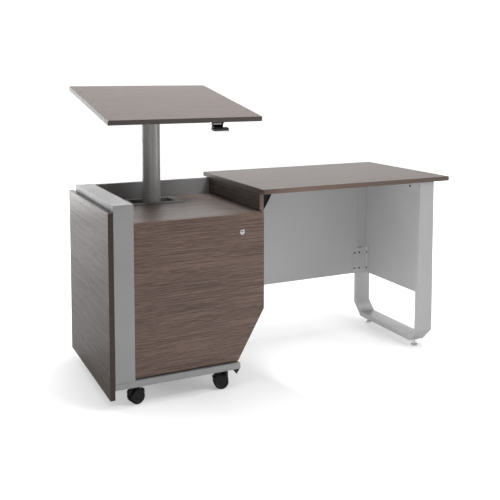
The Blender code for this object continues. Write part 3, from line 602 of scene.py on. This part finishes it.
# How far the outer edges of boards, panels, tubes and sheet parts are rounded
EDGE_RADII = {
    "side_panel_left": 0.0012,
    "desktop": 0.0012,
    "riser_panel": 0.0010,
    "cabinet_top": 0.0010,
    "door": 0.0012,
    "cabinet_side_left": 0.0006,
    "cabinet_side_right": 0.0006,
    "cabinet_side_sloped": 0.0006,
    "cabinet_floor": 0.0006,
    "back_wall": 0.0008,
    "modesty_panel": 0.0008,
    "end_panel": 0.0008,
    "end_frame": 0.0014,
    "leg_frame": 0.0014,
    "apron_rail": 0.0014,
    "base_pan": 0.0010,
    "gusset_bracket": 0.0006,
    "corner_bracket": 0.0006,
    "dock_tab": 0.0005,
}


def make_boards():
    for node, radius in EDGE_RADII.items():
        softened(node, radius)
    board = Solid(TILTED)
    board.box(BOARD_LOW, BOARD_HIGH, 0.0012, 3)
    board.done("lift_top_board", "wood_lift_top", "tilting_top", ("lift_top",))


def make_bezel():
    """The slot's flanged frame, with three ribs across its right end."""
    softened("grommet_bezel", 0.0008)
    low, high = node_box("grommet_bezel")
    ribs = Solid()
    middle = (low.y + high.y) / 2
    for step in range(-1, 2):
        y = middle + step * 0.030
        corner = (high.x - 0.026, y - 0.0022, high.z - 0.0004)
        ribs.box(corner, (high.x - 0.004, y + 0.0022, high.z + 0.0007), 0.0004)
    ribs.done("grommet_ribs", "grommet_plastic", BODY_OF["grommet_bezel"])


def make_lock():
    """A cam lock: flanged barrel, turning plug with a black piece of painted shade in its keyway, and the cam and
    keeper behind.
    """
    low, high = node_box("lock_barrel")
    x = (low.x + high.x) / 2
    z = (low.z + high.z) / 2
    on_door = at(x, node_box("door")[0].y, z, FRONTWARD)
    barrel = Solid(on_door)
    barrel.lathe(
        [
            (0.0062, 0.0016),
            (0.0066, 0.0022),
            (0.0090, 0.0025),
            (0.0100, 0.0020),
            (0.0105, 0.0010),
            (0.0105, 0.0001),
            (0.0090, 0.0001),
            (0.0090, -0.0330),
            (0.0062, -0.0330),
            (0.0062, 0.0016),
        ],
        48,
    )
    barrel.done("lock_barrel_turned", "bright_metal", "door", ("lock_barrel",))
    plug = Solid(on_door)
    domed = [(0, 0.0030), (0.0040, 0.0029), (0.0055, 0.0026), (0.0060, 0.0020)]
    plug.lathe([*domed, (0.0060, -0.0375), (0, -0.0375)], 40)
    plug.done("lock_plug_turned", "bright_metal", "lock", ("lock_plug",))
    # A raised black box on the plug's face: painted shade standing in for the dark slot of the keyway.
    keyway_shade = Solid(on_door)
    keyway_shade.box((-0.0009, -0.0036, 0.0020), (0.0009, 0.0036, 0.00315), 0.0002)
    keyway_shade.box((-0.0018, -0.0008, 0.0020), (0.0018, 0.0010, 0.00312), 0.0002)
    keyway_shade.done("lock_keyway", "black_paint", "lock")
    softened("lock_cam", 0.0004)
    softened("lock_keeper", 0.0004)


def make_door_fittings():
    """Rubber bumpers where the closed door meets the cabinet."""
    low, high = node_box("door")
    bumpers = Solid()
    for z in (low.z + 0.26, high.z - 0.05):
        profile = [(0, 0.0014), (0.0026, 0.0013), (0.0036, 0.0009), (0.0040, -0.0002)]
        bumpers.lathe(profile, 24, at(high.x - 0.012, high.y, z, BACKWARD))
    bumpers.done("door_bumpers", "glide_plastic", "door")


def make_corner_screws():
    """Screws of the corner bracket, the apron rail and the gusset, and a black strip of painted shade for the gap
    at the bracket's top.
    """
    dark = (0.0046, 0.0026)
    bright = (0.0036, 0.0020)
    low, high = node_box("corner_bracket")
    front = high.y - 0.0025
    screws = Solid()
    for z in (0.260, 0.337):
        for x in (DESK_LEFT + 0.742, DESK_LEFT + 0.768):
            screw_head(screws, at(x, front, z, FRONTWARD), *dark)
        screw_head(screws, at(high.x - 0.0025, low.y + 0.0135, z, LEFTWARD), *dark)
    # A thin black strip on the bracket's top edge: painted shade for the gap there.
    corner = (DESK_LEFT + 0.757, front - 0.0006, high.z - 0.0030)
    screws.box(corner, (DESK_LEFT + 0.781, front + 0.0002, high.z - 0.0008))
    screws.done("corner_bracket_screws", "black_paint", "carcass")

    rail = node_box("apron_rail")[0]
    hung = Solid()
    for y in (-0.225, -0.115, 0.085):
        screw_head(hung, at(rail.x, y, rail.z + 0.024, LEFTWARD), *dark)
    hung.done("apron_rail_screws", "black_paint", "carcass")

    low, high = node_box("gusset_bracket")
    held = Solid()
    screw_head(held, at(high.x - 0.016, high.y - 0.009, high.z - 0.003, DOWNWARD), *bright)
    screw_head(held, at(low.x + 0.003, high.y - 0.009, high.z - 0.050, RIGHTWARD), *bright)
    held.done("gusset_screws", "bright_metal", "carcass")


def make_levellers():
    """Two levelling feet with threaded stems, each in a flanged nut under the leg loop."""
    thread_start = 0.0164
    thread_end = 0.0428
    pitch = 0.0010
    for end in ("front", "back"):
        low, high = node_box(f"leveller_{end}")
        x = (low.x + high.x) / 2
        y = (low.y + high.y) / 2
        foot = Solid(at(x, y, 0))
        profile = [(0, 0), (0.0138, 0), (0.0148, 0.0008), (0.0150, 0.0018), (0.0150, 0.0042)]
        profile += [(0.0144, 0.0054), (0.0112, 0.0082), (0.0072, 0.0108), (0.0062, 0.0125)]
        profile += [(0.0062, 0.0155), (0.0040, 0.0160)]
        z = thread_start
        while z < thread_end:
            profile += [(0.0040, z), (0.0034, z + pitch / 2)]
            z += pitch
        profile += [(0.0034, 0.0440), (0, 0.0440)]
        foot.lathe(profile, 40)
        node = f"leveller_{end}"
        foot.done(f"{node}_turned", "bright_metal", BODY_OF[node], (node,))
        under = node_box("leg_frame")[0].z - 0.0002
        nut = Solid(at(x, y, 0))
        nut.lathe(
            [
                (0.0042, under),
                (0.0140, under),
                (0.0145, under - 0.0005),
                (0.0145, under - 0.0021),
                (0.0138, under - 0.0027),
                (0.0080, under - 0.0032),
                (0.0042, under - 0.0032),
                (0.0042, under),
            ],
            40,
        )
        nut.prism(ring_points(0.0084, 6), 0.0216, under - 0.0030, 0.0005)
        node = f"leveller_nut_{end}"
        nut.done(f"{node}_formed", "bright_metal", "carcass", (node,))


def make_column():
    """The column's tube, its head and the tilt bracket with their screws, and its base bolts."""
    low, high = node_box("column_tube")
    x = (low.x + high.x) / 2
    y = (low.y + high.y) / 2
    tube = Solid(at(x, y, 0))
    tube.lathe(
        [
            (0.0361, low.z),
            (0.0376, low.z),
            (0.0381, low.z + 0.0005),
            (0.0381, high.z - 0.0008),
            (0.0374, high.z),
            (0.0361, high.z),
            (0.0361, low.z),
        ],
        96,
    )
    tube.done("column_tube_drawn", "column_silver", "column", ("column_tube",))
    softened("column_head", 0.0006)
    softened("tilt_bracket", 0.0006)
    screws = Solid()
    for step in range(4):
        angle = math.radians(45 + 90 * step)
        place = at(x + 0.042 * math.cos(angle), y + 0.042 * math.sin(angle), high.z + 0.0083)
        screw_head(screws, place, 0.0030, 0.0016)
    screws.done("column_head_screws", "bright_metal", "column")
    fixings = Solid(TILTED)
    for side_x in (-0.052, 0.052):
        for side_y in (-0.066, 0.066):
            screw_head(fixings, at(side_x, side_y, UNDERSIDE - 0.0043, DOWNWARD), 0.0040, 0.0020)
    fixings.done("tilt_bracket_screws", "bright_metal", "tilting_top")
    plate_low, plate_high = node_box("column_base_plate")
    bolts = Solid()
    for side_x in (plate_low.x + 0.014, plate_high.x - 0.014):
        for side_y in (plate_low.y + 0.014, plate_high.y - 0.014):
            screw_head(bolts, at(side_x, side_y, plate_high.z), 0.0055, 0.0030)
    bolts.done("column_base_bolts", "bright_metal", BODY_OF["column_base_plate"])


def make_lever():
    """The release lever: housing and ears, a plated clip at its left, a paddle with a silver lip."""
    body = BODY_OF["lever_paddle"]
    middle = LEVER_X
    top = UNDERSIDE - 0.0003
    housing = Solid(TILTED)
    corner = (middle - 0.022, TOP_FRONT + 0.026, top - 0.0115)
    housing.box(corner, (middle + 0.022, TOP_FRONT + 0.047, top), 0.0012)
    for side in (-1, 1):
        inner = middle + side * 0.018
        outer = middle + side * 0.022
        housing.box(
            (min(inner, outer), LEVER_PIN_Y - 0.007, LEVER_PIN_Z - 0.006),
            (max(inner, outer), LEVER_PIN_Y + 0.007, top - 0.005),
            0.0010,
        )
    node = "lever_housing"
    housing.done("lever_housing_moulded", "lever_plastic", BODY_OF[node], (node,))
    clip = Solid(TILTED)
    front = TOP_FRONT + 0.030
    back = TOP_FRONT + 0.044
    clip.box((middle - 0.0285, front, top - 0.0016), (middle - 0.0200, back, top), 0.0004)
    clip.box((middle - 0.0285, front, top - 0.0110), (middle - 0.0270, back, top), 0.0004)
    clip.done("lever_clip", "bright_metal", "tilting_top")

    across = Matrix.Rotation(math.radians(90), 4, "Z") @ FRONTWARD
    low = UNDERSIDE
    paddle = Solid(TILTED)
    arm = [
        (LEVER_PIN_Y + 0.006, LEVER_PIN_Z - 0.004),
        (LEVER_PIN_Y + 0.006, LEVER_PIN_Z + 0.004),
        (LEVER_PIN_Y - 0.004, LEVER_PIN_Z + 0.004),
        (TOP_FRONT + 0.016, low - 0.0235),
        (TOP_FRONT + 0.016, low - 0.0330),
        (TOP_FRONT + 0.025, LEVER_PIN_Z - 0.007),
    ]
    paddle.prism(arm, middle - 0.0165, middle + 0.0165, 0.0012, 2, across)
    grip = [
        (TOP_FRONT + 0.0235, low - 0.0240),
        (TOP_FRONT + 0.0080, low - 0.0245),
        (TOP_FRONT + 0.0030, low - 0.0280),
        (TOP_FRONT + 0.0035, low - 0.0325),
        (TOP_FRONT + 0.0060, low - 0.0340),
        (TOP_FRONT + 0.0235, low - 0.0340),
    ]
    paddle.prism(grip, middle - 0.0300, middle + 0.0350, 0.0014, 3, across)
    paddle.done("lever_paddle_moulded", "lever_plastic", body, ("lever_paddle",))
    lip = Solid(TILTED)
    strip = [
        (TOP_FRONT + 0.0040, low - 0.0320),
        (TOP_FRONT + 0.0036, low - 0.0350),
        (TOP_FRONT + 0.0056, low - 0.0364),
        (TOP_FRONT + 0.0200, low - 0.0364),
        (TOP_FRONT + 0.0200, low - 0.0330),
    ]
    lip.prism(strip, middle - 0.0215, middle + 0.0060, 0.0008, 2, across)
    strip = [(y - 0.0006, z - 0.0001) for y, z in strip]
    lip.prism(strip, middle + 0.0068, middle + 0.0360, 0.0008, 2, across)
    lip.done("lever_lip", "silver_paint", body)


def make_cable_clips():
    """Saddles that hold the release cable to the underside of the lift top."""
    clips = Solid(TILTED)
    start = Vector((LEVER_X, TOP_FRONT + 0.0473))
    end = Vector((0.040, -0.0753))
    for t in (0.25, 0.5, 0.75):
        s = 1 - t
        middle = s**3 * start + 3 * s * s * t * (start + Vector((0, 0.14)))
        middle += 3 * s * t * t * (end - Vector((0, 0.14))) + t**3 * end
        clips.box(
            (middle.x - 0.007, middle.y - 0.004, UNDERSIDE - 0.0122),
            (middle.x + 0.007, middle.y + 0.004, UNDERSIDE - 0.0001),
            0.0012,
        )
    clips.done("cable_clips", "glide_plastic", "tilting_top")


def make_caster(end):
    """A hooded twin-wheel caster: cover, web, neck and stem, two treaded wheels, and a pedal."""
    swivel = JOINTS[f"caster_{end}_swivel"]["pos_m"]
    roll = JOINTS[f"caster_{end}_roll"]["pos_m"]
    trail = math.atan2(roll[1] - swivel[1], roll[0] - swivel[0])
    stem = at(swivel[0], swivel[1], 0, Matrix.Rotation(trail, 4, "Z"))
    axle = stem @ at(math.hypot(roll[0] - swivel[0], roll[1] - swivel[1]), 0, roll[2])
    brake = f"caster_{end}_brake"
    braked = brake in frame["nodes"]
    hood = Solid(axle)
    cover_end = 24 if braked else 14
    cover = arc(0.0306, cover_end, 158, 26) + arc(0.0289, 158, cover_end, 26)
    hood.prism(cover, -0.0200, 0.0200, 0.0006, 2, FRONTWARD)
    web = arc(0.0300, 24 if braked else -8, 190, 26) + [(-0.010, -0.010), (0.006, -0.012)]
    hood.prism(web, -0.0034, 0.0034, 0.0005, 1, FRONTWARD)
    ridge = arc(0.0312, 60, 120, 10) + arc(0.0300, 120, 60, 10)
    hood.prism(ridge, -0.0060, 0.0060, 0.0003, 1, FRONTWARD)
    to_stem = axle.inverted() @ stem
    neck = [
        (0.0115, 0.0380),
        (0.0115, 0.0600),
        (0.0105, 0.0625),
        (0.0105, 0.0650),
        (0.0115, 0.0665),
        (0.0115, 0.0700),
        (0.0108, 0.0709),
        (0.0055, 0.0709),
        (0.0055, 0.0875),
        (0.0045, 0.0884),
        (0, 0.0884),
    ]
    hood.lathe(neck, 32, to_stem)
    node = f"caster_{end}_hood"
    hood.done(f"{node}_moulded", "caster_plastic", f"caster_{end}", (node,))

    wheels = Solid(axle)
    hubs = Solid(axle)
    for out in (BACKWARD, FRONTWARD):
        tread = [(0.0245, 0.0185), (0.0262, 0.0188), (0.0274, 0.0180), (0.0279, 0.0164)]
        for groove in range(3):
            z = 0.0150 - groove * 0.0035
            tread += [(0.0280, z), (0.0276, z - 0.0004), (0.0276, z - 0.0010), (0.0280, z - 0.0014)]
        tread += [(0.0280, 0.0056), (0.0272, 0.0044), (0.0245, 0.0041), (0.0245, 0.0185)]
        wheels.lathe(tread, 56, out)
        hub = [
            (0, 0.0186),
            (0.0028, 0.0186),
            (0.0034, 0.0182),
            (0.0038, 0.0172),
            (0.0080, 0.0166),
            (0.0180, 0.0166),
            (0.0195, 0.0178),
            (0.0205, 0.0186),
            (0.0228, 0.0187),
            (0.0240, 0.0180),
            (0.0243, 0.0172),
            (0.0246, 0.0172),
            (0.0246, 0.0042),
            (0.0040, 0.0042),
            (0.0040, 0.0),
        ]
        hubs.lathe(hub, 56, out)
    node = f"caster_{end}_wheels"
    wheels.done(f"caster_{end}_tyres", "caster_tread", f"wheels_{end}", (node,))
    hubs.done(f"caster_{end}_hubs", "caster_plastic", f"wheels_{end}", (node,))

    if braked:
        pedal = Solid(axle)
        side = [
            (0.0245, 0.0200),
            (0.0270, 0.0206),
            (0.0288, 0.0207),
            (0.0318, 0.0192),
            (0.0328, 0.0174),
            (0.0314, 0.0158),
            (0.0278, 0.0163),
            (0.0245, 0.0170),
        ]
        pedal.prism(side, -0.0099, 0.0099, 0.0007, 2, FRONTWARD)
        for step in range(3):
            x = 0.0258 + 0.0022 * step
            ridge_top = 0.0211 - 0.0002 * step
            pedal.box((x, -0.0080, 0.0190), (x + 0.0010, 0.0080, ridge_top), 0.0003, 1)
        pedal.done(f"caster_{end}_pedal", "caster_plastic", BODY_OF[brake], (brake,))


def make_cabinet_details():
    """Shelf pins inside the cabinet, and caps over the panels' fixings at the back."""
    low, high = node_box("cabinet_side_left")
    pins = Solid()
    for y in (low.y + 0.08, high.y - 0.08):
        for z in (0.30, 0.34, 0.38):
            profile = [(0, 0.0012), (0.0034, 0.0010), (0.0040, 0), (0.0040, -0.001)]
            pins.lathe(profile, 20, at(high.x, y, z, RIGHTWARD))
    pins.done("shelf_pins", "plain_steel", "carcass")
    low, high = node_box("back_wall")
    left = low.x + 0.06
    right = high.x - 0.10
    places = [(left, 0.20), (left, 0.45), (left, 0.69), (right, 0.45), (right, 0.69)]
    caps = Solid()
    for x, z in places:
        dome(caps, at(x, high.y, z, BACKWARD), 0.0060, 0.0009)
    low, high = node_box("modesty_panel")
    for x in (low.x + 0.05, high.x - 0.05):
        for z in (0.30, 0.70):
            dome(caps, at(x, high.y, z, BACKWARD), 0.0060, 0.0009)
    caps.done("fixing_caps", "grommet_plastic", "carcass")


make_camera()
make_lights()
make_floor()

for node, obj in frame["nodes"].items():
    obj.data.materials.clear()
    obj.data.materials.append(MATERIALS[SLOT_OF[node]])

make_boards()
make_bezel()
make_lock()
make_door_fittings()
make_corner_screws()
make_levellers()
make_column()
make_lever()
make_cable_clips()
for end in ("fl", "fr", "bl", "br"):
    make_caster(end)
make_cabinet_details()
